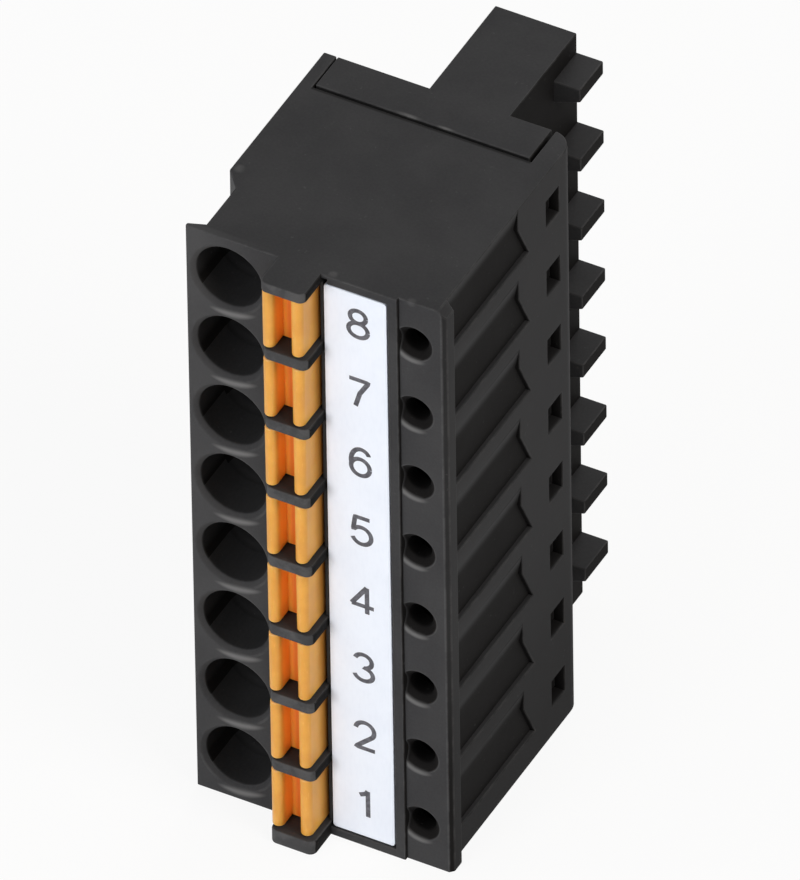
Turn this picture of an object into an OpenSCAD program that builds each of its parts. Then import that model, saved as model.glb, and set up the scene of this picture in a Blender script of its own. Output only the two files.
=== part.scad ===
// Pluggable terminal block plug with push-in spring clamps, one row of poles.
// The modules work in the plug's own corner frame: X from the left edge of the front plate,
// Y from its front face towards the rear, Z from the pole 1 end. place() then puts the
// origin in the middle of the footprint, on the end face that the plug stands on.

/* [Row of poles] */
// Distance from one pole to the next
pitch = 3.5; // [3.4:0.05:4]
// From the end face that the plug stands on to the middle of the first pole
low_margin = 2.17; // [2.1:0.01:2.5]
// From the middle of the last pole to the upper end face
high_margin = 1.97; // [1.92:0.01:2.5]
// How far the wire entries and test holes lie below the middle of their pole
hole_drop = 0.1; // [0:0.01:0.12]
// Thickness of the ribs between the buttons and of the partitions behind them
rib_t = 0.5; // [0.45:0.05:0.65]

/* [Front plate] */
// Thickness of the rim of the front plate
plate_t = 0.75; // [0.6:0.05:0.8]
// How far the rim stands proud of the right side
plate_step = 0.3; // [0.2:0.01:0.5]
// Bevel along the right front edge
plate_bevel = 0.17; // [0.1:0.01:0.38]
// Height of the slanting upper end of the rim on the right
plate_corner = 0.4; // [0.2:0.05:0.6]
// Thickness of the wall that the buttons pass through
front_wall = 1; // [0.8:0.05:1.3]

/* [Wire entries] */
// From the left edge to the centre of the wire entries
wire_x = 1.75; // [1.75:0.05:2.4]
// Radius of the wire entries behind their bevel
entry_r = 1.4; // [1.3:0.05:1.4]
// Bevel around the mouth of the entries
entry_bevel = 0.2; // [0.1:0.02:0.25]
// Depth of the straight part of the entries, from the front face
entry_len = 1.9; // [1.4:0.05:2]
// Length over which the entries narrow to the bore
throat_len = 0.5; // [0.3:0.05:0.6]
// Radius of the bores for the stripped wire
wire_r = 1.15; // [1:0.05:1.25]
// Depth of the block that guides the wire, from the front face
guide_len = 3; // [2.6:0.1:3.1]

/* [Buttons] */
// From the wall of the wire entries to the guides of the buttons
button_gap = 0.72; // [0.6:0.02:1.2]
// Width of a button
button_w = 1.75; // [1.7:0.05:2.2]
// How far the ribs between the buttons stand out of the front face
rib_proud = 1.45; // [1.2:0.05:1.5]
// How far the walls at both ends of the column stand out
column_proud = 1.58; // [1.5:0.02:1.9]
// Radius of the upright front edges of the ribs and end walls
rib_round = 0.3; // [0.1:0.05:0.5]
// From the left of the button guides to the left of the ribs
rib_inset = 0.11; // [0.05:0.01:0.4]
// How far the ribs reach past the right of the button guides
rib_reach = 0.16; // [0.05:0.01:0.3]
// How far the button fronts stay behind the ribs
button_recess = 0.05; // [0:0.01:0.2]
// Play between a button and its guide, on each side
button_play = 0.06; // [0.04:0.01:0.1]
// Width of the screwdriver slot
slot_w = 0.72; // [0.6:0.02:0.9]
// Depth of the screwdriver slot
slot_d = 0.85; // [0.5:0.05:1.1]
// How far the stop collar reaches past the guide on each side
collar_side = 0.25; // [0.15:0.05:0.35]
// Thickness of the stop collar
collar_t = 0.6; // [0.4:0.05:0.7]
// How far the nose of the foot, on its left, reaches past its right end
nose_len = 1.4; // [1.2:0.05:1.6]

/* [Marker strip] */
// Width of the marker strip
strip_w = 2.68; // [2.2:0.02:3.4]
// Thickness of the marker strip
strip_t = 0.4; // [0.35:0.05:0.6]
// How far the strip stands out of the front face
strip_proud = 0.1; // [0.05:0.01:0.15]
// From an end face to the end of the strip
strip_margin = 0.47; // [0.35:0.02:0.8]
// Radius of the strip's corners
strip_corner = 0.15; // [0.1:0.05:0.5]
// Play around the strip in its seat
strip_play = 0.06; // [0.03:0.01:0.1]
// How far the frame of the strip stands out of the front face
frame_proud = 0.15; // [0.1:0.01:0.3]
// Width of the rail to the right of the strip
rail_w = 0.43; // [0.3:0.01:0.6]
// Side of the prying notch at the strip's upper left corner
pry_w = 0.22; // [0.15:0.01:0.3]

/* [Test holes] */
// From the rail to the centre of the test holes
test_offset = 0.6; // [0.55:0.01:0.8]
// Radius of the test holes
test_r = 0.52; // [0.4:0.02:0.54]
// Lead-in bevel of the test holes
test_bevel = 0.28; // [0.1:0.02:0.3]
// From the centre of the test holes to the right edge of the front plate
test_margin = 1.37; // [1.3:0.01:1.8]

/* [Body] */
// Depth of the body behind the front face
body_d = 11.15; // [11:0.05:12.4]
// Thickness of the left side wall
left_wall = 0.55; // [0.5:0.05:0.7]
// Thickness of the right side wall
right_wall = 0.6; // [0.55:0.05:0.75]
// Radius of the upright edge at the right rear
corner_r = 0.9; // [0.4:0.05:1.1]

/* [Side recesses] */
// Depth of the recesses in the right side
recess_depth = 0.2; // [0.1:0.02:0.4]
// Lower edge of a recess, below the pole's centre
recess_low = 0.8; // [0.6:0.05:1]
// Upper end of a recess's floor, above the pole's centre
recess_high = 0.95; // [0.8:0.05:1.3]
// Height of the slope from the floor up to the side
recess_ramp = 1.05; // [0.6:0.05:1.2]
// Rear end of a recess at its lower edge, from the front face
recess_rear = 7.3; // [6.4:0.1:7.6]
// How much shorter a recess is at its upper end
recess_rake = 0.85; // [0.3:0.05:1.2]

/* [Finger notches] */
// Depth of the notches in the left side, measured on the end faces
notch_depth = 0.72; // [0.4:0.02:0.76]
// Height of the notches, whose bottom slants out to the side
notch_h = 1.4; // [1:0.05:1.5]
// Thickness of the plate's lip at the outer edge
notch_lip = 0.15; // [0.1:0.01:0.3]
// Where the back of the lip reaches the bottom of the notch
notch_front = 0.42; // [0.35:0.01:0.6]
// Rear end of the bottom of the notch
notch_flat = 2.7; // [1.8:0.1:3]
// Where the ramp behind the notch comes out at the side
notch_rear = 3.55; // [3.2:0.05:4.4]

/* [Rear insert] */
// Depth of the insert's plate in the housing
insert_d = 1.98; // [1.7:0.02:2.1]
// Play between the insert and the housing
insert_play = 0.05; // [0.03:0.01:0.08]
// Gap in front of and beside the end tabs
tab_gap = 0.15; // [0.08:0.01:0.25]
// From the right side to the notches for the end tabs
tab_margin = 0.85; // [0.7:0.05:1.2]
// Length of the snap windows along the body
window_len = 1.05; // [0.9:0.05:1.3]
// Height of the snap windows
window_h = 1.3; // [1.2:0.05:1.7]
// How far the windows sit below the pole's centre
window_drop = 0.05; // [0:0.05:0.3]
// From the insert's front face to the rear edge of the windows
window_set = 0.6; // [0.4:0.05:0.7]
// Thickness of the latch arms
arm_t = 0.45; // [0.35:0.05:0.5]
// How far the hooks stay below the right side
hook_sunk = 0.4; // [0.15:0.05:0.45]

/* [Tongue] */
// From the left edge to the middle of the tongue
tongue_x = 6.28; // [5.6:0.01:6.5]
// Width of the tongue
tongue_w = 3.5; // [3.4:0.05:4]
// Length of the tongue behind the body
tongue_len = 5.35; // [5:0.05:6.4]
// Side walls of the tongue
tongue_wall = 0.5; // [0.4:0.05:0.55]
// Thickness of the tongue's rear wall
tongue_end_wall = 0.8; // [0.6:0.05:1]
// Walls between the contact cells in the tongue
cell_wall = 0.8; // [0.6:0.05:0.9]
// Side of the square pin holes
pin_hole = 1.4; // [1.1:0.05:1.6]
// Lead-in bevel of the pin holes
pin_bevel = 0.3; // [0.15:0.05:0.4]

/* [Coding ribs] */
// How far the coding ribs reach out of the tongue
code_out = 1.13; // [0.8:0.01:1.4]
// Length of a coding rib along the tongue
code_len = 1.9; // [1.4:0.1:2.6]
// Thickness of a coding rib at its tip
code_tip = 0.64; // [0.4:0.02:0.8]
// Thickness of a coding rib at its root
code_root = 1.1; // [0.85:0.05:1.4]
// Upper face of a coding rib, above the pole's centre
code_top = 1; // [0.8:0.05:1.3]

/* [Contacts] */
// Thickness of the current bars
sheet_t = 0.35; // [0.3:0.01:0.4]
// Width of the current bars along the row
contact_w = 2.2; // [1.8:0.05:2.4]
// Gap between a bar and the walls around it
contact_play = 0.12; // [0.08:0.01:0.16]
// From the front face to the test tab
tab_y = 3.5; // [3.2:0.05:3.6]
// Half the distance between the roots of the tulip blades
blade_root = 1.08; // [0.95:0.01:1.1]
// Half the gap between the blades where they pinch the pin
blade_pinch = 0.32; // [0.2:0.02:0.45]
// How far the blades flare out again behind the pinch
blade_flare = 0.27; // [0.15:0.01:0.35]
// Length of the flared blade ends
blade_lip = 1.1; // [0.8:0.05:1.3]
// Length over which the blades close up
blade_reach = 2.3; // [1.8:0.1:2.6]

/* [Clamp springs] */
// Thickness of the spring leaf
spring_t = 0.3; // [0.2:0.01:0.35]
// Width of the spring leaf along the row
spring_w = 2.2; // [1.8:0.05:2.4]
// Radius of the bend, at the middle of the leaf
bend_r = 1; // [0.8:0.05:1.1]
// From the front face to the middle of the bend
bend_y = 4.7; // [4.6:0.05:5]
// Room for the tip of the clamping leg to swing, up to the web of the current bar
leg_gap = 2.6; // [2.3:0.05:3]
// Gap between a spring and what it lies against at rest
spring_play = 0.05; // [0.03:0.01:0.08]

/* [Hidden] */
$fn = 48;
poles = 8;
bend_steps = 24;
over = 0.5;     // how far a cut runs past the face that it leaves by
graze = 0.05;   // the same where only a little may be cut

row_len = (poles - 1) * pitch + low_margin + high_margin;
chamber_h = pitch - rib_t;
low_wall = low_margin - chamber_h / 2;
high_wall = high_margin - chamber_h / 2;

port_x0 = wire_x + entry_r + button_gap;
port_x1 = port_x0 + button_w + 2 * button_play;
column_x0 = port_x0 + rib_inset;
column_x1 = port_x1 + rib_reach;
strip_x0 = column_x1 + strip_play;
strip_x1 = strip_x0 + strip_w;
rail_x0 = strip_x1 + strip_play;
rail_x1 = rail_x0 + rail_w;
test_x = rail_x1 + test_offset;
plate_w = test_x + test_margin;
body_w = plate_w - plate_step;

guide_x = port_x0 - collar_side - button_play;
inner_x = body_w - right_wall;
insert_y = body_d - insert_d;
window_y1 = insert_y + window_set;
window_y0 = window_y1 - window_len;
tab_x1 = body_w - tab_margin - tab_gap;
tongue_x0 = tongue_x - tongue_w / 2;
tongue_end = body_d + tongue_len;
cell_w = tongue_w - 2 * tongue_wall;
cell_h = pitch - cell_wall;
cell_end = tongue_end - tongue_end_wall;

button_x0 = port_x0 + button_play;
button_x1 = button_x0 + button_w;
button_h = chamber_h - 2 * button_play;
button_y0 = button_recess - rib_proud;
ridge_r = (button_x1 - button_x0 - slot_w) / 4;

bar_x0 = left_wall + contact_play;
bar_x1 = inner_x - insert_play - arm_t - contact_play;
web_y1 = insert_y - contact_play;
web_y0 = web_y1 - sheet_t;
blade_end = cell_end - contact_play;
pinch_y = blade_end - blade_lip;

spring_x = bar_x1 - sheet_t - spring_play - spring_t / 2;
bend_x = spring_x - bend_r;
leg_tip_x = bar_x0 + sheet_t + contact_play;
leg_tip_y = web_y0 - leg_gap - spring_t / 2;
leg_reach = norm([bend_x - leg_tip_x, leg_tip_y - bend_y]);
leg_slope = atan2(leg_tip_y - bend_y, bend_x - leg_tip_x) + asin(bend_r / leg_reach);
leg_x = bend_x - bend_r * sin(leg_slope);
leg_y = bend_y - bend_r * cos(leg_slope);
leg_len = (leg_x - leg_tip_x) / cos(leg_slope);

// Height of a pole's centre, counted from the end that the plug stands on
function pole_z(pole) = low_margin + (pole - 1) * pitch;

// Direction of an angle in the plane of X and Y
function heading(angle) = [cos(angle), sin(angle)];

// A list from its last item to its first
function backwards(list) = [for (i = [len(list) - 1:-1:0]) list[i]];

// Front face of the clamping leg at a given X
function leg_front(x) = leg_y + (leg_x - x) * tan(leg_slope) - spring_t / 2 / cos(leg_slope);

module place() translate([-plate_w / 2, (column_proud - tongue_end) / 2, 0]) children();

module at_pole(pole) translate([0, 0, pole_z(pole)]) children();

// A box between two corners
module box(low, high) translate(low) cube(high - low);

// A flat shape in X and Y, made a bar of the given height about a pole's centre
module bar(h) translate([0, 0, -h / 2]) linear_extrude(h) children();

// A round hole that runs from the front face to a depth, with a bevelled mouth
module front_hole(r, bevel, depth) {
    rotate([-90, 0, 0]) translate([0, 0, -over]) cylinder(h = depth + over, r = r);
    rotate([-90, 0, 0]) translate([0, 0, -graze])
        cylinder(h = bevel + graze, r1 = r + bevel + graze, r2 = r);
}

module plate_outline() polygon([
    [0, 0],
    [plate_w - plate_bevel, 0],
    [plate_w, plate_bevel],
    [plate_w, plate_t],
    [0, plate_t]
]);

// Slanting cut at the upper end of the rim, from the top of the right side outwards
module plate_corner_cut() translate([body_w, plate_t + over, row_len]) rotate([90, 0, 0])
    linear_extrude(plate_t + 2 * over) polygon([
        [0, 0],
        [2 * plate_step, -2 * plate_corner],
        [2 * plate_step, over],
        [0, over]
    ]);

module body_outline() difference() {
    square([body_w, body_d]);
    translate([body_w - corner_r, body_d - corner_r]) difference() {
        square(corner_r + over);
        circle(corner_r);
    }
}

// Outline of a rib or end wall of the button column, rounded at the front
module rib_outline(proud) {
    r = rib_round;
    translate([column_x0, r - proud]) square([column_x1 - column_x0, proud - r + plate_t]);
    translate([column_x0 + r, -proud]) square([column_x1 - column_x0 - 2 * r, r + plate_t]);
    for (x = [column_x0 + r, column_x1 - r]) translate([x, r - proud]) circle(r);
}

// Ribs between the buttons, and the walls that close the column at both ends
module button_ribs() {
    for (rib = [1:poles - 1]) translate([0, 0, pole_z(rib) + chamber_h / 2])
        linear_extrude(rib_t) rib_outline(rib_proud);
    linear_extrude(low_wall) rib_outline(column_proud);
    translate([0, 0, row_len - high_wall]) linear_extrude(high_wall) rib_outline(column_proud);
}

// Raised frame around the marker strip: a rail on its right and a border at each end
module strip_frame() {
    border = strip_margin - strip_play;
    box([rail_x0, -frame_proud, 0], [rail_x1, plate_t, row_len]);
    for (z = [0, row_len - border])
        translate([column_x1, -frame_proud, z])
            cube([rail_x1 - column_x1, frame_proud + plate_t, border]);
}

// Seat of the strip, sunk into the front face, with the prying notch above it
module strip_seat() {
    top = row_len - strip_margin + strip_play;
    floor_y = strip_t - strip_proud;
    box([column_x1, -frame_proud - over, strip_margin - strip_play], [rail_x0, floor_y, top]);
    box([column_x1, -frame_proud - over, top - over], [column_x1 + pry_w, floor_y, top + pry_w]);
}

// Wire entry: bevelled mouth, straight part, throat and bore
module wire_entry() translate([wire_x, 0, -hole_drop]) {
    front_hole(entry_r, entry_bevel, entry_len);
    rotate([-90, 0, 0]) translate([0, 0, entry_len]) cylinder(h = throat_len, r1 = entry_r, r2 = wire_r);
    rotate([-90, 0, 0]) cylinder(h = guide_len + graze, r = wire_r);
}

// Test hole beside the rail, which cuts off the left of its bevel
module test_hole() intersection() {
    translate([test_x, 0, -hole_drop]) front_hole(test_r, test_bevel, front_wall);
    box([rail_x1, -over, -pitch / 2], [plate_w, front_wall + over, pitch / 2]);
}

module button_guide()
    box([port_x0, -over, -chamber_h / 2], [port_x1, front_wall + over, chamber_h / 2]);

// Space for the spring, the current bar and the rear of the button
module chamber() bar(chamber_h) polygon([
    [left_wall, guide_len],
    [guide_x, guide_len],
    [guide_x, front_wall],
    [inner_x, front_wall],
    [inner_x, insert_y + over],
    [left_wall, insert_y + over]
]);

// Recess in the right side: flat floor, raked rear end, sloping upper wall
module side_recess() {
    floor_x = body_w - recess_depth;
    short_rear = recess_rear - recess_rake;
    translate([floor_x, 0, 0]) rotate([90, 0, 90]) linear_extrude(recess_depth + over) polygon([
        [plate_t, -recess_low],
        [recess_rear, -recess_low],
        [short_rear, recess_high],
        [plate_t, recess_high]
    ]);
    translate([0, short_rear, 0]) rotate([90, 0, 0]) linear_extrude(short_rear - plate_t) polygon([
        [floor_x, recess_high],
        [floor_x, recess_high - over],
        [body_w + over, recess_high - over],
        [body_w + over, recess_high + recess_ramp * (1 + over / recess_depth)]
    ]);
}

module snap_window()
    box([inner_x - over, window_y0, -window_drop - window_h / 2],
        [body_w + over, window_y1, window_h / 2 - window_drop]);

// Notch behind the front plate's left lip at an end face, with a slanting bottom
module finger_notch() intersection() {
    translate([0, 0, -over]) linear_extrude(notch_h + 2 * over) polygon([
        [-over, notch_lip],
        [0, notch_lip],
        [notch_depth, notch_front],
        [notch_depth, notch_flat],
        [0, notch_rear],
        [-over, notch_rear]
    ]);
    rise = over * notch_h / notch_depth;
    translate([0, notch_rear, 0]) rotate([90, 0, 0]) linear_extrude(notch_rear) polygon([
        [-over, notch_h + rise],
        [-over, -rise],
        [notch_depth + over, -rise]
    ]);
}

// Rear opening for the insert, with a notch through each end wall for its tab
module insert_pocket() {
    box([left_wall, insert_y, low_wall], [inner_x, body_d + over, row_len - high_wall]);
    box([left_wall, insert_y, -over], [tab_x1 + tab_gap, body_d + over, row_len + over]);
}

module housing() color("#2c2c2e") place() difference() {
    union() {
        difference() {
            linear_extrude(row_len) plate_outline();
            plate_corner_cut();
        }
        linear_extrude(row_len) body_outline();
        button_ribs();
        strip_frame();
    }
    strip_seat();
    finger_notch();
    translate([0, 0, row_len]) mirror([0, 0, 1]) finger_notch();
    insert_pocket();
    for (pole = [1:poles]) at_pole(pole) {
        wire_entry();
        test_hole();
        button_guide();
        chamber();
        side_recess();
        snap_window();
    }
}

// Plate of the insert with its two end tabs
module insert_plate() {
    side = left_wall + insert_play;
    box([side, insert_y, low_wall + insert_play],
        [inner_x - insert_play, body_d, row_len - high_wall - insert_play]);
    box([side, insert_y + tab_gap, 0], [tab_x1, body_d, row_len]);
}

// Latch arm with the hook that catches the rear edge of its window
module latch() {
    arm_x1 = inner_x - insert_play;
    hook_y0 = window_y0 + insert_play;
    hook_y1 = window_y1 - insert_play;
    translate([0, 0, -window_drop]) bar(window_h - 4 * insert_play) {
        translate([arm_x1 - arm_t, hook_y0]) square([arm_t, insert_y + over - hook_y0]);
        polygon([
            [arm_x1 - arm_t / 2, hook_y0],
            [arm_x1, hook_y0],
            [body_w - hook_sunk, hook_y1],
            [arm_x1 - arm_t / 2, hook_y1]
        ]);
    }
}

// Coding rib on the right of the tongue: level upper face, underside rising to the tip
module coding_rib() {
    root_x = tongue_x0 + tongue_w;
    translate([0, tongue_end, 0]) rotate([90, 0, 0]) linear_extrude(code_len) polygon([
        [root_x - over, code_top],
        [root_x + code_out, code_top],
        [root_x + code_out, code_top - code_tip],
        [root_x, code_top - code_root],
        [root_x - over, code_top - code_root]
    ]);
}

// Cross-section of a pin hole with its lead-in, from the cell to the tongue's rear face
module pin_hole_section() {
    half = pin_hole / 2;
    mouth = half + pin_bevel;
    polygon([
        [-half, cell_end - over],
        [half, cell_end - over],
        [half, tongue_end - pin_bevel],
        [mouth, tongue_end],
        [mouth, tongue_end + over],
        [-mouth, tongue_end + over],
        [-mouth, tongue_end],
        [-half, tongue_end - pin_bevel]
    ]);
}

// Contact cell with the square hole that the header pin comes through
module contact_cell() translate([tongue_x, 0, 0]) {
    box([-cell_w / 2, insert_y - over, -cell_h / 2], [cell_w / 2, cell_end, cell_h / 2]);
    intersection() {
        bar(cell_h) pin_hole_section();
        rotate([0, 90, 0]) bar(cell_w) pin_hole_section();
    }
}

module contact_carrier() color("#2a2a2c") place() difference() {
    union() {
        insert_plate();
        box([tongue_x0, body_d - over, 0], [tongue_x0 + tongue_w, tongue_end, row_len]);
        for (pole = [1:poles]) at_pole(pole) {
            latch();
            coding_rib();
        }
    }
    for (pole = [1:poles]) at_pole(pole) contact_cell();
}

module strip_outline() {
    r = strip_corner;
    len = row_len - 2 * strip_margin;
    translate([r, 0]) square([strip_w - 2 * r, len]);
    translate([0, r]) square([strip_w, len - 2 * r]);
    for (x = [r, strip_w - r], z = [r, len - r]) translate([x, z]) circle(r);
}

module marker_strip() color("#eef1f8") place()
    translate([strip_x0, strip_t - strip_proud, strip_margin])
        rotate([90, 0, 0]) linear_extrude(strip_t) strip_outline();

// Side view of a button: two round ridges, the stem, the stop collar and the slanted foot,
// whose nose bears on the clamping leg and clears it as the leg swings away
module button_section() {
    collar_y = front_wall + button_play / 2;
    nose_y = leg_front(button_x0) - spring_play;
    difference() {
        union() {
            polygon([
                [button_x0, button_y0 + ridge_r],
                [button_x1, button_y0 + ridge_r],
                [button_x1, nose_y - nose_len],
                [button_x0, nose_y]
            ]);
            for (x = [button_x0 + ridge_r, button_x1 - ridge_r])
                translate([x, button_y0 + ridge_r]) circle(ridge_r);
            translate([port_x0 - collar_side, collar_y])
                square([port_x1 - port_x0 + 2 * collar_side, collar_t]);
        }
        translate([(button_x0 + button_x1 - slot_w) / 2, button_y0 - over])
            square([slot_w, slot_d + over]);
    }
}

module button(pole) color("#e8872e") place() at_pole(pole) bar(button_h) button_section();

// One face of the leaf, at a distance from its middle: straight leg, bend, clamping leg
function leaf_face(off) = concat(
    [[spring_x + off, web_y0 - spring_play]],
    [for (step = [0:bend_steps])
        [bend_x, bend_y] + (bend_r + off) * heading(-step / bend_steps * (90 + leg_slope))],
    [[bend_x, bend_y] - (bend_r + off) * heading(90 - leg_slope) + leg_len * heading(180 - leg_slope)]
);

// Leaf spring: a leg held against the current bar, the bend, and the slanted clamping leg
module clamp_spring(pole) color("#b9bcc2") place() at_pole(pole) bar(spring_w)
    polygon(concat(leaf_face(spring_t / 2), backwards(leaf_face(-spring_t / 2))));

// One tulip blade, right of the pin: straight root, closing stretch, flared end
module blade_section() polygon([
    [blade_root - sheet_t, web_y0],
    [blade_root, web_y0],
    [blade_root, pinch_y - blade_reach],
    [blade_pinch + sheet_t, pinch_y],
    [blade_pinch + sheet_t + blade_flare, blade_end],
    [blade_pinch + blade_flare, blade_end],
    [blade_pinch, pinch_y],
    [blade_root - sheet_t, pinch_y - blade_reach]
]);

// Current bar: clamping leg on the left, web, right leg with the test tab
module contact_section() {
    translate([bar_x0, guide_len + contact_play]) square([sheet_t, web_y1 - guide_len - contact_play]);
    translate([bar_x0, web_y0]) square([bar_x1 - bar_x0, sheet_t]);
    translate([bar_x1 - sheet_t, tab_y]) square([sheet_t, web_y1 - tab_y]);
    translate([bar_x1 - sheet_t, tab_y]) square([inner_x - contact_play - bar_x1 + sheet_t, sheet_t]);
}

module contact(pole) color("#c9c6bd") place() at_pole(pole) {
    bar(contact_w) contact_section();
    for (side = [0, 1]) translate([tongue_x, 0, 0]) mirror([side, 0, 0]) bar(contact_w) blade_section();
}

housing();
contact_carrier();
marker_strip();
for (pole = [1:poles]) {
    button(pole);
    clamp_spring(pole);
    contact(pole);
}
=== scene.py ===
import math

import bmesh
import bpy
import numpy as np
from mathutils import Matrix, Vector


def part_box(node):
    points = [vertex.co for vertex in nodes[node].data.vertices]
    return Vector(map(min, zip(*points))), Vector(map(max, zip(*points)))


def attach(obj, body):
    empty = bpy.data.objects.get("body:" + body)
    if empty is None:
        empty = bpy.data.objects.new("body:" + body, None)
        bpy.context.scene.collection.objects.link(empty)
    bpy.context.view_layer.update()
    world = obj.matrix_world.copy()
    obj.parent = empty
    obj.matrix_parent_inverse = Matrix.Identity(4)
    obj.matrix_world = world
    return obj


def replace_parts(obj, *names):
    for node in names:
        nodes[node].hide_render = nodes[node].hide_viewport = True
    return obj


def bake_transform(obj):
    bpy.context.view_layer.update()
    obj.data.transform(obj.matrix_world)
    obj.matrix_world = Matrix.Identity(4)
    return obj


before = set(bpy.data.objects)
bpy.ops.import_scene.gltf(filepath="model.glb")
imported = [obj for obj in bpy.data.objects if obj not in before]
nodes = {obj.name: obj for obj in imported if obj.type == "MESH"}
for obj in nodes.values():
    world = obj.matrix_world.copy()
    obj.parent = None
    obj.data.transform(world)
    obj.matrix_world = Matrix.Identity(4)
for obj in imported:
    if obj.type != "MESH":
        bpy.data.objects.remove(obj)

mm = 0.001
scene = bpy.context.scene
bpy.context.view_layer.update()  # box of the solids, before they are dressed
poles = range(1, sum(name.startswith("button_") for name in nodes) + 1)
polePitch = round((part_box("button_2")[0].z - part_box("button_1")[0].z) / mm, 2)
print("frame loaded:", len(nodes), "nodes,", len(poles), "poles")


class Signal:  # one socket of a node tree; the operators add Math nodes
    def __init__(self, tree, socket):
        self.tree = tree
        self.socket = socket

    def node(self, kind, settings, sockets, output=0):  # settings first, then values or links
        made = self.tree.nodes.new(kind)
        for name, value in settings.items():
            setattr(made, name, value)
        for name, value in sockets.items():
            if isinstance(value, Signal):
                self.tree.links.new(value.socket, made.inputs[name])
            else:
                made.inputs[name].default_value = value
        return Signal(self.tree, made.outputs[output])

    def maths(self, operation, first, second=0.0):
        return self.node("ShaderNodeMath", {"operation": operation}, {0: first, 1: second})

    def __add__(self, other):
        return self.maths("ADD", self, other)

    def __radd__(self, other):
        return self.maths("ADD", other, self)

    def __sub__(self, other):
        return self.maths("SUBTRACT", self, other)

    def __rsub__(self, other):
        return self.maths("SUBTRACT", other, self)

    def __mul__(self, other):
        return self.maths("MULTIPLY", self, other)

    def __rmul__(self, other):
        return self.maths("MULTIPLY", other, self)

    def __abs__(self):
        return self.maths("ABSOLUTE", self)

    def feed(self, shader, name):
        self.tree.links.new(self.socket, shader.inputs[name])


def startMaterial(name):  # a new material and its shader
    material = bpy.data.materials.new(name)
    material.use_nodes = True
    return material, material.node_tree.nodes["Principled BSDF"]


def scaled(place, factors):  # the same coordinates, times a factor along each axis
    return place.node("ShaderNodeMapping", {}, {"Vector": place, "Scale": factors})


def objectPlace(material):  # where a point of the piece is, in millimetres
    tree = material.node_tree
    coords = Signal(tree, tree.nodes.new("ShaderNodeTexCoord").outputs["Object"])
    return scaled(coords, (1.0 / mm, 1.0 / mm, 1.0 / mm))


def along(place, axis):  # one coordinate of a place
    return place.node("ShaderNodeSeparateXYZ", {}, {"Vector": place}, axis)


def flag(place, name):  # a number kept on the faces of the piece
    return place.node("ShaderNodeAttribute", {"attribute_name": name}, {}, "Fac")


noiseMiddle = 0.5  # the noise texture's mean value


def speckle(place, perMm, detail, rough=0.5):  # noise, in waves to the millimetre
    sockets = {"Vector": place, "Scale": perMm, "Detail": detail, "Roughness": rough}
    return place.node("ShaderNodeTexNoise", {}, sockets)


def band(signal, low, high):  # 0 below low, 1 above high, smooth between
    sockets = {"Value": signal, "From Min": low, "From Max": high}
    return signal.node("ShaderNodeMapRange", {"interpolation_type": "SMOOTHSTEP"}, sockets)


def larger(first, second):
    return first.maths("MAXIMUM", first, second)


def lifted(least, share):  # a share that starts at least instead of at 0
    return least + (1.0 - least) * share


def tint(share, first, second):  # from the first colour to the second; 6, 7 and 2 are the colour sockets
    first, second = (c if isinstance(c, Signal) else (*c, 1.0) for c in (first, second))
    return share.node("ShaderNodeMix", {"data_type": "RGBA"}, {0: share, 6: first, 7: second}, 2)


def bumped(height, strength, depth, under=None):  # a normal raised by the height, over another normal
    sockets = {"Strength": strength, "Distance": depth * mm, "Height": height}
    if under is not None:
        sockets["Normal"] = under
    return height.node("ShaderNodeBump", {}, sockets)


# mouths of the wire entries and of the test holes: painted shade inside, a painted highlight crescent on
# the rim below
wireHoles = {
    "x": -3.8, "firstZ": 2.07, "below": 2.6,  # axis of the lowest hole; below it is where its pitch starts
    "topZ": (28.0, 28.2), "fromX": (-5.5, -5.4), "frontY": (-7.25, -7.1),  # where the row and the rims end
    "inside": (1.36, 1.44), "dark": 0.5,
    "rim": 1.68, "rimBand": (0.02, 0.26), "lean": (0.12, -0.99), "leanBand": (0.84, 1.0), "share": 0.95,
}
testHoles = dict(
    wireHoles, x=4.18, fromX=(3.57, 3.66), inside=(0.76, 0.83), dark=1.0,
    rim=0.86, rimBand=(0.02, 0.17), lean=(-0.35, -0.94), leanBand=(0.55, 1.0), share=0.75)


def rowOfHoles(place, hole):
    # far is the distance from the axis of the place's own hole, lean how much that side faces the light
    x, z = along(place, "X"), along(place, "Z")
    step = (z - (hole["firstZ"] - hole["below"])) * (1.0 / polePitch)
    up = step.maths("FRACT", step) * polePitch - hole["below"]
    side = x - hole["x"]
    square = side * side + up * up
    far = square.maths("SQRT", square)
    lean = (side * hole["lean"][0] + up * hole["lean"][1]) * (1.0 / hole["rim"])
    rim = (1.0 - band(abs(far - hole["rim"]), *hole["rimBand"])) * band(lean, *hole["leanBand"])
    front = 1.0 - band(along(place, "Y"), *hole["frontY"])
    inRow = (1.0 - band(z, *hole["topZ"])) * band(x, *hole["fromX"])
    inside = 1.0 - band(far, *hole["inside"])
    # the first share is a painted highlight on the lower rim, the second is where painted shade fills the
    # hole
    return rim * front * inRow * hole["share"], inside * inRow


# pale scuffs: point, radius of the full mark and radius where it ends, in millimetres
housingScuffs = {
    "share": 0.4, "least": 0.5, "patchBand": (0.4, 0.6), "stretch": (1.0, 1.0, 1.0),
    "spots": [((-0.9, 2.0, 28.3), 0.12, 0.5), ((-5.25, -3.7, 28.6), 0.08, 0.3),
              ((0.75, -7.4, 28.6), 0.06, 0.25), ((4.1, -7.4, 28.6), 0.06, 0.25)],
}
carrierScuffs = dict(
    housingScuffs, share=0.75, stretch=(0.2, 1.0, 1.0),
    spots=[((-0.95, 1.9, 28.64), 0.02, 0.15), ((-0.75, 1.88, 28.64), 0.01, 0.08),
           ((0.6, 1.9, 28.64), 0.01, 0.11)])


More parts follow.
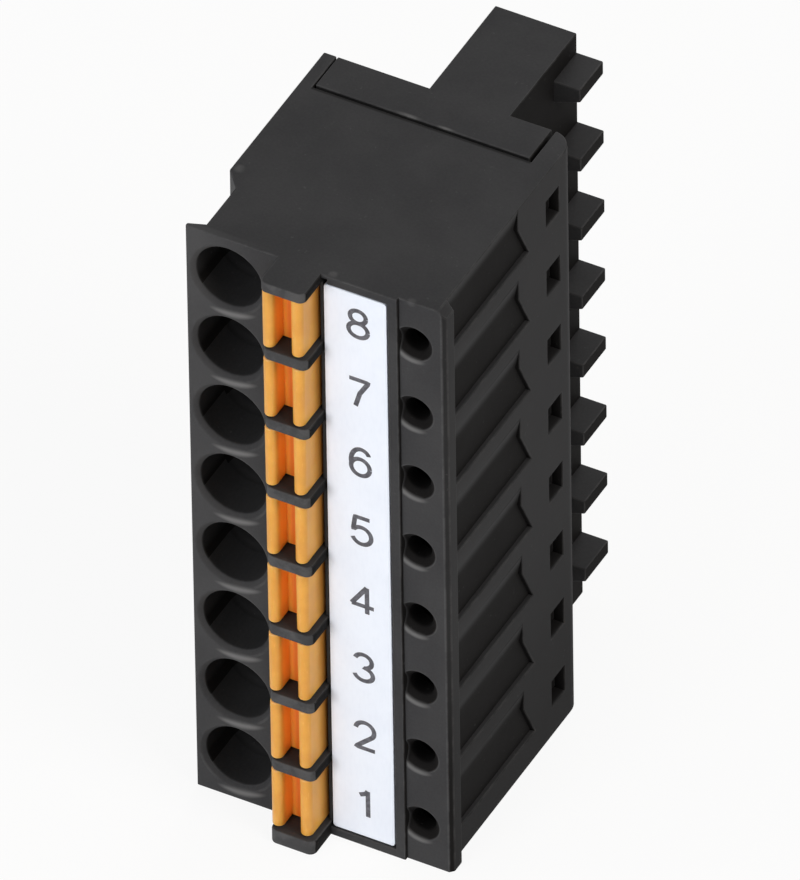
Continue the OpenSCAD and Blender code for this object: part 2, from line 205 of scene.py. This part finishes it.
def nearPoint(place, point, inner, outer, stretch):  # 1 at a point of the piece, 0 from outer on
    middle = tuple(p * s for p, s in zip(point, stretch))
    sockets = {0: scaled(place, stretch), 1: middle}
    far = place.node("ShaderNodeVectorMath", {"operation": "DISTANCE"}, sockets, "Value")
    return 1.0 - band(far, inner, outer)


# moulded plastics: slow drift of tone, eroded grain, rubbed edges, painted shade on side faces, dust;
# painted light on the front plate around the wire entries, painted shade along the gap in front of the
# carrier's end tabs
housingFinish = {
    "dark": (0.034, 0.034, 0.036), "light": (0.048, 0.048, 0.050),
    "paleWearAndHighlight": (0.15, 0.149, 0.15), "sunk": (0.009, 0.0085, 0.0085),
    "drift": {"perMm": 0.35, "detail": 3.0}, "grain": {"perMm": 9.0, "detail": 3.0, "rough": 0.65},
    "patch": {"perMm": 1.4, "detail": 4.0, "rough": 0.6}, "toneBand": (0.3, 0.7), "driftShare": 0.65,
    "dust": {"perMm": 5.5, "detail": 1.0}, "dustBand": (0.71, 0.77), "dustPatch": (0.42, 0.6),
    "dustShare": 0.12,
    "edgeShare": 0.16, "edgeLeast": 0.35, "edgePatch": (0.4, 0.62), "scuffs": housingScuffs,
    "paintedFrontLight": {"x": (-4.9, -1.6), "y": (-7.3, -7.1), "z": (0.5, 11.0), "least": 0.35, "share": 0.14},
    # painted shade: full on faces set back from the side planes such as the recess floors, less on the
    # outer side faces, more towards the bottom
    "sideX": (5.08, 5.22), "sunkLeast": 0.35, "paintedLowShade": {"z": (0.5, 14.0), "share": 0.3},
    # painted shade along the gap in front of the carrier's end tabs
    "joint": {"leftX": (-5.02, -4.98), "rightX": (4.38, 4.42), "frontY": (1.52, 1.64), "rearY": (1.74, 1.8),
              "middleZ": 14.32, "endsFrom": (14.0, 14.2), "share": 0.8},
    "holes": [wireHoles, testHoles],
    "roughness": {"base": 0.56, "drift": 0.16, "grain": 0.1, "paleWearAndHighlight": 0.1, "sunk": 0.2}, "specular": 0.05,
    "waves": {"strength": 0.25, "depth": 0.02}, "bumps": {"strength": 0.5, "depth": 0.006},
}
# the carrier's side faces all take the full painted shade
carrierFinish = dict(housingFinish, holes=[], sideX=(8.0, 9.0), scuffs=carrierScuffs)


def wearAndPaintedLightShare(place, patch, finish):  # worn edges, scuffs, and painted light on the front plate around the wire entries
    worn = lifted(finish["edgeLeast"], band(patch, *finish["edgePatch"]))
    wearAndHighlight = flag(place, "edge") * worn * finish["edgeShare"]
    scuffs = finish["scuffs"]
    broken = lifted(scuffs["least"], band(patch, *scuffs["patchBand"]))
    for point, inner, outer in scuffs["spots"]:
        spot = nearPoint(place, point, inner, outer, scuffs["stretch"])
        wearAndHighlight = larger(wearAndHighlight, scuffs["share"] * (spot * broken))
    # painted light on the front plate, lighter upwards
    paintedFrontLight = finish["paintedFrontLight"]
    front = (1.0 - band(along(place, "X"), *paintedFrontLight["x"])) * (1.0 - band(along(place, "Y"), *paintedFrontLight["y"]))
    front = front * lifted(paintedFrontLight["least"], band(along(place, "Z"), *paintedFrontLight["z"]))
    return larger(wearAndHighlight, paintedFrontLight["share"] * front)


def sunkShare(place, finish):  # painted shade on side faces, openings and bevels, more towards the bottom, and along the joint
    x, y, z = (along(place, axis) for axis in "XYZ")
    inside = lifted(finish["sunkLeast"], 1.0 - band(abs(x), *finish["sideX"]))
    low = finish["paintedLowShade"]["share"] * (1.0 - band(z, *finish["paintedLowShade"]["z"]))
    sunk = flag(place, "sunk") * (inside + low)
    joint = finish["joint"]
    gap = band(x, *joint["leftX"]) * (1.0 - band(x, *joint["rightX"]))
    gap = gap * band(y, *joint["frontY"]) * (1.0 - band(y, *joint["rearY"]))
    gap = gap * band(abs(z - joint["middleZ"]), *joint["endsFrom"])
    sunk = larger(sunk, joint["share"] * gap)
    return sunk.maths("MINIMUM", sunk, 1.0)


def mouldedPlastic(name, finish):
    material, shader = startMaterial(name)
    place = objectPlace(material)
    kinds = ("drift", "grain", "patch", "dust")
    drift, grain, patch, dust = (speckle(place, **finish[kind]) for kind in kinds)
    wearAndHighlight = wearAndPaintedLightShare(place, patch, finish)
    sunk = sunkShare(place, finish)
    # painted highlight crescents on the hole rims, painted shade inside the holes
    for hole in finish["holes"]:
        lit, inside = rowOfHoles(place, hole)
        wearAndHighlight = larger(wearAndHighlight * (1.0 - inside), lit)
        sunk = larger(sunk, inside * (1.0 - lit) * hole["dark"])
    share = finish["driftShare"]
    tone = share * band(drift, *finish["toneBand"]) + (1.0 - share) * band(grain, *finish["toneBand"])
    # painted shade darkens the tone
    colour = tint(sunk, tint(tone, finish["dark"], finish["light"]), finish["sunk"])
    dust = band(dust, *finish["dustBand"]) * band(patch, *finish["dustPatch"])
    # pale wear, dust, painted light and painted highlights over the tone
    tint(larger(wearAndHighlight, finish["dustShare"] * dust), colour, finish["paleWearAndHighlight"]).feed(shader, "Base Color")
    rough = finish["roughness"]
    satin = rough["base"] + rough["drift"] * (drift - noiseMiddle) + rough["grain"] * (grain - noiseMiddle)
    (satin - rough["paleWearAndHighlight"] * wearAndHighlight + rough["sunk"] * sunk).feed(shader, "Roughness")
    bumped(grain, **finish["bumps"], under=bumped(patch, **finish["waves"])).feed(shader, "Normal")
    shader.inputs["Specular IOR Level"].default_value = finish["specular"]
    return material


# satin orange of the release buttons: a little depth, rubbed ridges, blade marks across the slot, painted
# shade and light in the slot and on the sides
buttonFinish = {
    "deep": (0.65, 0.297, 0.04), "bright": (0.75, 0.37, 0.058), "worn": (0.86, 0.46, 0.15),
    "drift": {"perMm": 0.8, "detail": 3.0}, "driftBand": (0.3, 0.7), "driftShare": 0.7,
    "grain": {"perMm": 8.0, "detail": 2.0}, "edgeWear": 0.45,
    "marks": {"perMm": 9.0, "detail": 2.0}, "markStretch": (2.0, 2.0, 0.25), "markBand": (0.6, 0.75),
    "markWear": 0.35,
    "slotMiddle": -0.745, "slotY": (-8.72, -8.4),
    # painted shade on the slot floor, painted light on its wall
    "slotFloorShade": (0.6, 0.14, 0.01), "floorTo": (0.08, 0.34),
    "slotWallLight": (1.0, 0.42, 0.055), "wallTo": (0.37, 0.42),
    # painted shade in the gap beside the buttons, deeper towards the back
    "gap": (0.20, 0.055, 0.012), "gapY": (-8.25, -7.3), "gapShare": 0.75,
    "roughness": {"base": 0.38, "drift": 0.12, "marks": 0.14}, "dullBand": (0.55, 0.72), "specular": 0.45,
    "bumps": {"strength": 0.35, "depth": 0.005}, "grainInBumps": 0.6,
    "scatter": 0.35, "scatterTint": (1.0, 0.45, 0.15), "scatterReach": 0.4 * mm,
}


def buttonPlastic(name, finish):
    material, shader = startMaterial(name)
    place = objectPlace(material)
    y = along(place, "Y")
    drift = speckle(place, **finish["drift"])
    grain = speckle(place, **finish["grain"])
    marks = speckle(scaled(place, finish["markStretch"]), **finish["marks"])
    tone = finish["driftShare"] * band(drift, *finish["driftBand"]) + (1.0 - finish["driftShare"]) * grain
    marked = finish["markWear"] * band(marks, *finish["markBand"])
    worn = larger(finish["edgeWear"] * flag(place, "edge"), marked)
    colour = tint(worn, tint(tone, finish["deep"], finish["bright"]), finish["worn"])
    # painted shade on the buttons' sides, deeper towards the back
    colour = tint(finish["gapShare"] * band(y, *finish["gapY"]), colour, finish["gap"])
    off = abs(along(place, "X") - finish["slotMiddle"])
    inSlot = band(y, *finish["slotY"])
    # painted light on the slot wall, painted shade on the slot floor
    colour = tint((1.0 - band(off, *finish["wallTo"])) * inSlot, colour, finish["slotWallLight"])
    colour = tint((1.0 - band(off, *finish["floorTo"])) * inSlot, colour, finish["slotFloorShade"])
    colour.feed(shader, "Base Color")
    rough = finish["roughness"]
    dull = rough["marks"] * band(marks, *finish["dullBand"])
    (rough["base"] + rough["drift"] * (drift - noiseMiddle) + dull).feed(shader, "Roughness")
    bumped(marks + finish["grainInBumps"] * grain, **finish["bumps"]).feed(shader, "Normal")
    shader.inputs["Subsurface Weight"].default_value = finish["scatter"]
    shader.inputs["Subsurface Radius"].default_value = finish["scatterTint"]
    shader.inputs["Subsurface Scale"].default_value = finish["scatterReach"]
    shader.inputs["Specular IOR Level"].default_value = finish["specular"]
    return material


# white card-like plastic of the marker strip
stripFinish = {
    "white": (0.79, 0.84, 0.93), "shade": (0.71, 0.76, 0.86), "edgeShare": 0.3,
    "drift": {"perMm": 0.5, "detail": 3.0}, "driftBand": (0.35, 0.7), "driftShare": 0.35,
    "fibre": {"perMm": 7.0, "detail": 3.0}, "fibreBand": (0.4, 0.7), "fibreShare": 0.2,
    "stretch": (1.0, 1.0, 0.3),
    "roughness": {"base": 0.42, "fibre": 0.15}, "bumps": {"strength": 0.2, "depth": 0.003},
}


def stripPlastic(name, finish):
    material, shader = startMaterial(name)
    place = objectPlace(material)
    drift = speckle(place, **finish["drift"])
    fibre = speckle(scaled(place, finish["stretch"]), **finish["fibre"])
    shade = finish["driftShare"] * band(drift, *finish["driftBand"])
    shade = shade + finish["fibreShare"] * band(fibre, *finish["fibreBand"])
    shade = shade + finish["edgeShare"] * flag(place, "edge")
    tint(shade, finish["white"], finish["shade"]).feed(shader, "Base Color")
    rough = finish["roughness"]
    (rough["base"] + rough["fibre"] * (fibre - noiseMiddle)).feed(shader, "Roughness")
    bumped(fibre, **finish["bumps"]).feed(shader, "Normal")
    return material


# grey ink of the numbers, thinner in places
inkFinish = {
    "dark": (0.05, 0.05, 0.062), "thin": (0.11, 0.11, 0.13),
    "cover": {"perMm": 6.0, "detail": 3.0}, "coverBand": (0.35, 0.65),
    "roughness": {"base": 0.5, "thin": 0.12},
}


def printedInk(name, finish):
    material, shader = startMaterial(name)
    thin = band(speckle(objectPlace(material), **finish["cover"]), *finish["coverBand"])
    tint(thin, finish["dark"], finish["thin"]).feed(shader, "Base Color")
    (finish["roughness"]["base"] + finish["roughness"]["thin"] * thin).feed(shader, "Roughness")
    return material


# rolled spring strip and matt tin, with the rolling lines along the strip
steelFinish = {
    "low": (0.42, 0.42, 0.43), "high": (0.63, 0.63, 0.64), "lineShare": 0.5,
    "lines": {"perMm": 2.5, "detail": 3.0}, "stretch": (1.0, 1.0, 12.0),
    "bloom": {"perMm": 1.2, "detail": 4.0}, "bloomBand": (0.3, 0.7),
    "roughness": {"base": 0.3, "bloom": 0.2, "lines": 0.1}, "bumps": {"strength": 0.3, "depth": 0.003},
}
tinFinish = dict(
    steelFinish, low=(0.5, 0.49, 0.46), high=(0.71, 0.7, 0.67), stretch=(1.0, 1.0, 3.0),
    roughness=dict(steelFinish["roughness"], base=0.42))


def rolledMetal(name, finish):
    material, shader = startMaterial(name)
    place = objectPlace(material)
    lines = speckle(scaled(place, finish["stretch"]), **finish["lines"])
    bloom = speckle(place, **finish["bloom"])
    tone = finish["lineShare"] * lines + (1.0 - finish["lineShare"]) * band(bloom, *finish["bloomBand"])
    tint(tone, finish["low"], finish["high"]).feed(shader, "Base Color")
    rough = finish["roughness"]
    matt = rough["base"] + rough["bloom"] * (bloom - noiseMiddle) + rough["lines"] * (lines - noiseMiddle)
    matt.feed(shader, "Roughness")
    bumped(lines, **finish["bumps"]).feed(shader, "Normal")
    shader.inputs["Metallic"].default_value = 1.0
    return material


housingPlastic = mouldedPlastic("housingCharcoal", housingFinish)
carrierPlastic = mouldedPlastic("carrierCharcoal", carrierFinish)
buttonOrange = buttonPlastic("buttonOrange", buttonFinish)
stripWhite = stripPlastic("stripWhite", stripFinish)
numberInk = printedInk("numberInk", inkFinish)
springSteel = rolledMetal("springSteel", steelFinish)
matTin = rolledMetal("matTin", tinFinish)
print("materials made")


def dressed(name, mesh, material):  # a finished mesh as a piece of the plug
    piece = bpy.data.objects.new(name, mesh)
    scene.collection.objects.link(piece)
    mesh.materials.clear()
    mesh.materials.append(material)
    return piece


# copies of the solids: corners merged within a distance, faces joined where they lie within an angle
copying = {"merge": 0.002 * mm, "flatWithin": 0.4, "mostCorners": 4}


def mergedCopy(node):
    shape = bmesh.new()
    shape.from_mesh(nodes[node].data)
    bmesh.ops.remove_doubles(shape, verts=shape.verts, dist=copying["merge"])
    return shape


def splitLargeFaces(shape):  # faces with many corners into triangles
    large = [face for face in shape.faces if len(face.verts) > copying["mostCorners"]]
    bmesh.ops.triangulate(shape, faces=large)


def smoothMesh(shape, name, sharpFrom):  # the finished shape, smooth up to an angle in degrees
    mesh = bpy.data.meshes.new(name)
    shape.to_mesh(mesh)
    shape.free()
    if "custom_normal" in mesh.attributes:
        mesh.attributes.remove(mesh.attributes["custom_normal"])
    mesh.shade_smooth()
    mesh.set_sharp_from_angle(angle=math.radians(sharpFrom))
    return mesh


# how much painted shade the faces of the mouldings get, by place (in millimetres) and by facing
paintedShadeByFace = {
    "wallX": (4.4, 5.24), "wallZ": (0.05, 28.6), "wallY": -6.6, "windowsY": 0.5,
    "sideways": 0.9, "slanted": 0.5,
    "opening": 3.0, "sill": 0.7, "plateBevel": 1.7, "right": 1.0, "left": 0.35, "other": 0.0,
}


def sunkFlag(centre, normal):
    low, high = paintedShadeByFace["wallX"]
    bottom, top = paintedShadeByFace["wallZ"]
    slanted = paintedShadeByFace["slanted"]
    inWall = low < abs(centre.x) < high and bottom < centre.z < top and centre.y > paintedShadeByFace["wallY"]
    across = inWall and abs(normal.x) < paintedShadeByFace["sideways"]
    # painted shade in the openings of the side walls
    if across and normal.z < slanted:
        return paintedShadeByFace["opening"]
    if across and centre.y > paintedShadeByFace["windowsY"]:  # painted shade on the sills of the snap windows
        return paintedShadeByFace["sill"]
    if centre.x > high and normal.x > slanted and normal.y < -slanted:  # painted shade on the bevel along the front plate
        return paintedShadeByFace["plateBevel"]
    # painted shade on the faces turned to the sides, more on the right
    if abs(normal.x) > paintedShadeByFace["sideways"]:
        return paintedShadeByFace["right"] if normal.x > 0 else paintedShadeByFace["left"]
    return paintedShadeByFace["other"]


# widths in metres, angles in degrees; the last number is how much lighter the fronts of the ribs between
# the buttons are
bodyRounding = {"width": 0.055 * mm, "steps": 3, "from": 30, "sharpFrom": 50, "ribFrontLift": 2.0}
buttonRounding = {"width": 0.07 * mm, "steps": 3, "from": 40, "sharpFrom": 50, "ribFrontLift": 0.0}
stripRounding = {"width": 0.035 * mm, "steps": 2, "from": 40, "sharpFrom": 50, "ribFrontLift": 0.0}
ribFronts = {"y": -8.6, "facing": -0.3}


def roundedCopy(node, name, rounding, material, body):
    # the node's own shape, its triangles merged to flat faces and its outer edges rounded
    shape = mergedCopy(node)
    flat = math.radians(copying["flatWithin"])
    bmesh.ops.dissolve_limit(shape, angle_limit=flat, verts=shape.verts, edges=shape.edges)
    edgeLayer = shape.faces.layers.float.new("edge")
    # how much painted shade each face gets
    sunkLayer = shape.faces.layers.float.new("sunk")
    for face in shape.faces:
        face[sunkLayer] = sunkFlag(face.calc_center_median() / mm, face.normal)
    turn = math.radians(rounding["from"])
    folds = [edge for edge in shape.edges if len(edge.link_faces) == 2 and edge.is_convex]
    outer = [edge for edge in folds if edge.calc_face_angle(0.0) > turn]
    strips = bmesh.ops.bevel(shape, geom=outer, offset=rounding["width"], offset_type="OFFSET", profile=0.5,
                             segments=rounding["steps"], affect="EDGES", clamp_overlap=False)["faces"]
    for face in strips:
        face[edgeLayer] = 1.0
    for face in shape.faces:
        # the fronts of the ribs between the buttons are made lighter
        if face.calc_center_median().y < ribFronts["y"] * mm and face.normal.y < ribFronts["facing"]:
            face[edgeLayer] = max(face[edgeLayer], rounding["ribFrontLift"])
    splitLargeFaces(shape)
    mesh = smoothMesh(shape, name, rounding["sharpFrom"])
    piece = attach(dressed(name, mesh, material), body)
    piece.modifiers.new("flatFaces", "WEIGHTED_NORMAL").keep_sharp = True
    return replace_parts(piece, node)


roundedCopy("housing", "plugHousing", bodyRounding, housingPlastic, "plug")
roundedCopy("contact_carrier", "rearCarrier", bodyRounding, carrierPlastic, "plug")
roundedCopy("marker_strip", "numberStrip", stripRounding, stripWhite, "plug")
for pole in poles:
    button, body = f"releaseButton{pole}", f"release_{pole}"
    roundedCopy(f"button_{pole}", button, buttonRounding, buttonOrange, body)
print("edges rounded")

for pole in poles:
    bar = nodes[f"contact_{pole}"]
    bar.data.materials.clear()
    bar.data.materials.append(matTin)

# leaf springs: steel copies of the solids, their long faces split; in the plug the clamping leg is the one
# its button moves
leafSprings = {"startX": 2.1, "endX": -1.62, "longest": 0.8 * mm, "cuts": 2, "rounds": 2, "sharpFrom": 30}


def leafSpring(pole):
    node, name = f"clamp_spring_{pole}", f"leafSpring{pole}"
    shape = mergedCopy(node)
    for _ in range(leafSprings["rounds"]):  # long faces are split into shorter ones
        long = [edge for edge in shape.edges if edge.calc_length() > leafSprings["longest"]]
        bmesh.ops.subdivide_edges(shape, edges=long, cuts=leafSprings["cuts"])
        splitLargeFaces(shape)
    mesh = smoothMesh(shape, name, leafSprings["sharpFrom"])
    piece = dressed(name, mesh, springSteel)
    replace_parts(piece, node)
    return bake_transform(piece)


for pole in poles:
    leafSpring(pole)
print("springs and current bars dressed")

# pole numbers in millimetres; a stroke's profile is in shares of its width and of the ink's height
numberPrint = {
    "height": 1.33, "stroke": 0.2, "ink": 0.006, "x": 1.87, "firstZ": 2.2, "arcSteps": 28, "lineSteps": 12,
    "across": (-0.5, -0.42, 0.42, 0.5), "raised": (0.0, 1.0, 1.0, 0.0), "climb": (1.0, 1.5),
    "closest": 1e-6,
}


def arc(x, y, across, up, first, last):  # points of an ellipse's arc, angles in degrees
    turn = np.radians(np.linspace(first, last, numberPrint["arcSteps"]))
    return np.stack([x + across * np.cos(turn), y + up * np.sin(turn)], 1)


def line(first, last):  # straight stroke, with points close enough for clean corners
    return np.linspace(first, last, numberPrint["lineSteps"] + 1)


def joined(*parts):
    return np.concatenate(parts)


# strokes of each number, in units of its height, x from its middle
digitStrokes = {
    1: [line((0.06, 0.0), (0.06, 1.0)),
        joined(line((0.06, 1.0), (0.0, 0.88)), line((0.0, 0.88), (-0.2, 0.78)))],
    2: [joined(arc(0.0, 0.7, 0.3, 0.3, 172, -32), line((0.22, 0.5), (-0.3, 0.0)),
               line((-0.3, 0.0), (0.32, 0.0)))],
    3: [joined(arc(-0.01, 0.75, 0.27, 0.25, 165, -90), arc(-0.01, 0.25, 0.3, 0.25, 90, -168))],
    4: [line((0.36, 0.26), (-0.36, 0.26)), line((-0.36, 0.26), (0.14, 1.0)),
        line((0.14, 1.0), (0.14, 0.0))],
    5: [joined(line((0.27, 1.0), (-0.2, 1.0)), line((-0.2, 1.0), (-0.27, 0.5)),
               arc(0.0, 0.32, 0.31, 0.32, 142, -160))],
    6: [arc(0.0, 0.31, 0.3, 0.31, 0, 360),
        joined(arc(0.03, 0.5, 0.33, 0.5, 195, 90), arc(0.03, 0.77, 0.25, 0.23, 90, 12))],
    7: [joined(line((-0.31, 1.0), (0.31, 1.0)), line((0.31, 1.0), (0.02, 0.5)),
               line((0.02, 0.5), (-0.12, 0.0)))],
    8: [arc(0.0, 0.765, 0.255, 0.235, 0, 360), arc(0.0, 0.265, 0.31, 0.265, 0, 360)],
}


def strokeRibbon(path, front):
    # each point of the path, moved along its normal by the profile's widths and raised by its heights
    moved = np.linalg.norm(np.diff(path, axis=0), axis=1) > numberPrint["closest"]
    path = path[np.concatenate([[True], moved])]
    heading = np.gradient(path, axis=0)
    heading /= np.linalg.norm(heading, axis=1, keepdims=True)
    normal = np.stack([-heading[:, 1], heading[:, 0]], 1)
    across = np.array(numberPrint["across"]) * numberPrint["stroke"]
    climb = np.linspace(*numberPrint["climb"], len(path))[:, None]  # crossing strokes share no plane
    depth = front - np.array(numberPrint["raised"]) * numberPrint["ink"] * climb
    flat = path[:, None, :] + normal[:, None, :] * across[None, :, None]
    verts = np.stack([flat[..., 0], depth, flat[..., 1]], -1).reshape(-1, 3)
    row, column = np.meshgrid(np.arange(len(path) - 1), np.arange(len(across) - 1), indexing="ij")
    first = (row * len(across) + column).ravel()
    faces = np.stack([first, first + 1, first + len(across) + 1, first + len(across)], 1)
    return verts, faces


def numberMesh(name):
    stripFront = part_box("marker_strip")[0].y / mm
    verts, faces, count = [], [], 0
    for digit, strokes in digitStrokes.items():
        foot = numberPrint["firstZ"] + polePitch * (digit - 1) - numberPrint["height"] / 2
        for stroke in strokes:
            path = stroke * numberPrint["height"] + [numberPrint["x"], foot]
            points, quads = strokeRibbon(path, stripFront)
            verts.append(points)
            faces.append(quads + count)
            count += len(points)
    mesh = bpy.data.meshes.new(name)
    mesh.from_pydata((np.concatenate(verts) * mm).tolist(), [], np.concatenate(faces).tolist())
    mesh.update()
    shape = bmesh.new()
    shape.from_mesh(mesh)
    bmesh.ops.recalc_face_normals(shape, faces=shape.faces)
    if sum(face.normal.y * face.calc_area() for face in shape.faces) > 0:  # the ink faces forward, to -y
        bmesh.ops.reverse_faces(shape, faces=shape.faces)
    shape.to_mesh(mesh)
    shape.free()
    return mesh


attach(dressed("poleNumbers", numberMesh("poleNumbers"), numberInk), "plug")
print("numbers printed")

# studio: white floor, a broad lamp overhead, one on the right, low ones in front and behind
cameraLook = {
    "azimuth": 28.604, "elevation": 41.829, "roll": -0.922, "lens": 1398.5, "clip": (0.1, 10.0),
    "distance": 1302.0, "aim": (0.0827, -1.1176, 14.984),
}
floorLook = {
    "half": 1.5, "drop": 0.01 * mm, "colour": (0.95, 0.95, 0.95, 1.0), "roughness": 0.9, "specular": 0.0,
    "shadowShare": 0.1,
}
roomLook = {"ambient": 0.2, "colour": (1.0, 1.0, 1.0, 1.0)}
lampAim = (0, 0, 14)
lamps = {  # level 1 shows a facing surface at the plug's place in its own colour
    "overLamp": {"at": (-90, -40, 300), "size": 320, "level": 0.14, "colour": (1.0, 1.0, 1.0)},
    "sideLamp": {"at": (250, -60, 260), "size": 160, "level": 0.42, "colour": (1.0, 0.95, 0.88)},
    "backLamp": {"at": (-40, 320, 150), "size": 200, "level": 0.27, "colour": (1.0, 1.0, 1.0)},
    "frontLamp": {"at": (-70, -330, 70), "size": 160, "level": 0.62, "colour": (1.0, 1.0, 1.0)},
}


def placeCamera(name, look):
    azimuth, elevation, roll = (math.radians(look[key]) for key in ("azimuth", "elevation", "roll"))
    reach = math.cos(elevation)
    back = Vector((math.sin(azimuth) * reach, -math.cos(azimuth) * reach, math.sin(elevation)))
    level = Vector((math.cos(azimuth), math.sin(azimuth), 0))
    right = level * math.cos(roll) + back.cross(level) * math.sin(roll)
    turn = Matrix((right, back.cross(right), back)).transposed()
    data = bpy.data.cameras.new(name)
    data.lens = look["lens"]
    data.clip_start, data.clip_end = look["clip"]
    camera = bpy.data.objects.new(name, data)
    scene.collection.objects.link(camera)
    place = Vector(look["aim"]) + back * look["distance"]
    camera.matrix_world = Matrix.Translation(place * mm) @ turn.to_4x4()
    scene.camera = camera


def placeLamp(name, look):
    data = bpy.data.lights.new(name, "AREA")
    lamp = bpy.data.objects.new(name, data)
    scene.collection.objects.link(lamp)
    lamp.location = Vector(look["at"]) * mm
    toLamp = lamp.location - Vector(lampAim) * mm
    lamp.rotation_euler = toLamp.to_track_quat("Z", "Y").to_euler()
    data.shape = "DISK"
    data.size = look["size"] * mm
    data.color = look["colour"]
    data.energy = look["level"] * math.pi ** 2 * toLamp.length_squared  # level 1 is pi^2 d^2 watts


def seenDirectly(tree):  # 1 for rays that show the background itself: camera, glossy, transmission
    path = tree.nodes.new("ShaderNodeLightPath")
    kinds = ("Is Camera Ray", "Is Glossy Ray", "Is Transmission Ray")
    camera, glossy, through = (Signal(tree, path.outputs[kind]) for kind in kinds)
    return larger(larger(camera, glossy), through)


def paintRoom(name, look):
    world = bpy.data.worlds.new(name)
    scene.world = world
    world.use_nodes = True
    background = world.node_tree.nodes["Background"]
    background.inputs["Color"].default_value = look["colour"]
    lifted(look["ambient"], seenDirectly(world.node_tree)).feed(background, "Strength")


def layFloor(name, look):
    half, depth = look["half"], -look["drop"]
    corners = [(-half, -half, depth), (half, -half, depth), (half, half, depth), (-half, half, depth)]
    mesh = bpy.data.meshes.new(name)
    mesh.from_pydata(corners, [], [(0, 1, 2, 3)])
    floor = bpy.data.objects.new(name, mesh)
    scene.collection.objects.link(floor)
    material, shader = startMaterial("paleFloor")
    shader.inputs["Base Color"].default_value = look["colour"]
    shader.inputs["Roughness"].default_value = look["roughness"]
    shader.inputs["Specular IOR Level"].default_value = look["specular"]
    tree = material.node_tree
    white = tree.nodes.new("ShaderNodeEmission")
    blend = tree.nodes.new("ShaderNodeMixShader")
    ((1.0 - look["shadowShare"]) * seenDirectly(tree)).feed(blend, "Fac")
    tree.links.new(shader.outputs[0], blend.inputs[1])
    tree.links.new(white.outputs[0], blend.inputs[2])
    tree.links.new(blend.outputs[0], tree.nodes["Material Output"].inputs["Surface"])
    mesh.materials.append(material)


placeCamera("photoCamera", cameraLook)
for name, look in lamps.items():
    placeLamp(name, look)
paintRoom("studioRoom", roomLook)
layFloor("studioFloor", floorLook)
scene.view_settings.view_transform = "Standard"
print("studio set")
